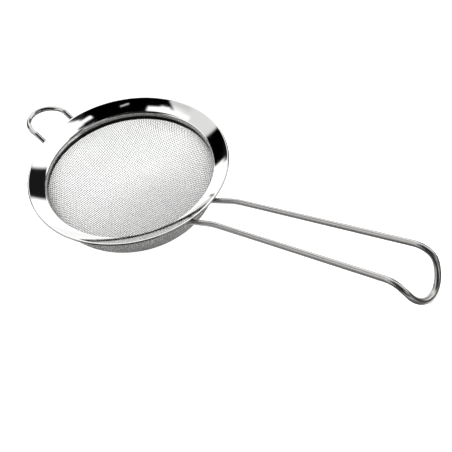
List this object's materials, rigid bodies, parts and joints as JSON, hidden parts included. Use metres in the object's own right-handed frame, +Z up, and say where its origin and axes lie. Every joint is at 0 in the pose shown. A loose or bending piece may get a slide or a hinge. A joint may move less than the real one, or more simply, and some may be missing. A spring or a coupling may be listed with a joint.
{
  "type": "tea strainer",
  "caption": "Round tea strainer: a woven wire bowl clamped in a pressed steel rim, with a long bent wire handle and a wire hook that rests on a cup.",
  "frame": {"origin": "on the table under the middle of the whole strainer, as it lies on its bowl and on the end loop of its handle", "axes": "+X towards the end of the handle, +Z up from the table, so the rim's own axis leans towards +X"},
  "size_m": [0.2176, 0.095, 0.0566],
  "materials": {
    "polished_steel": "mirror-polished pressed stainless steel with fine draw lines",
    "mesh_steel": "plain-woven stainless wire, 0.3 mm wire at 1 mm pitch",
    "wire_steel": "bright drawn stainless wire",
    "weld_steel": "spot weld, slightly darkened"
  },
  "bodies": {
    "root": {"rim": "polished_steel", "mesh_bowl": "mesh_steel", "clamp_ring": "polished_steel", "handle_wire": "wire_steel", "rest_hook": "wire_steel", "handle_welds": "weld_steel", "hook_welds": "weld_steel"}
  },
  "joints": []
}
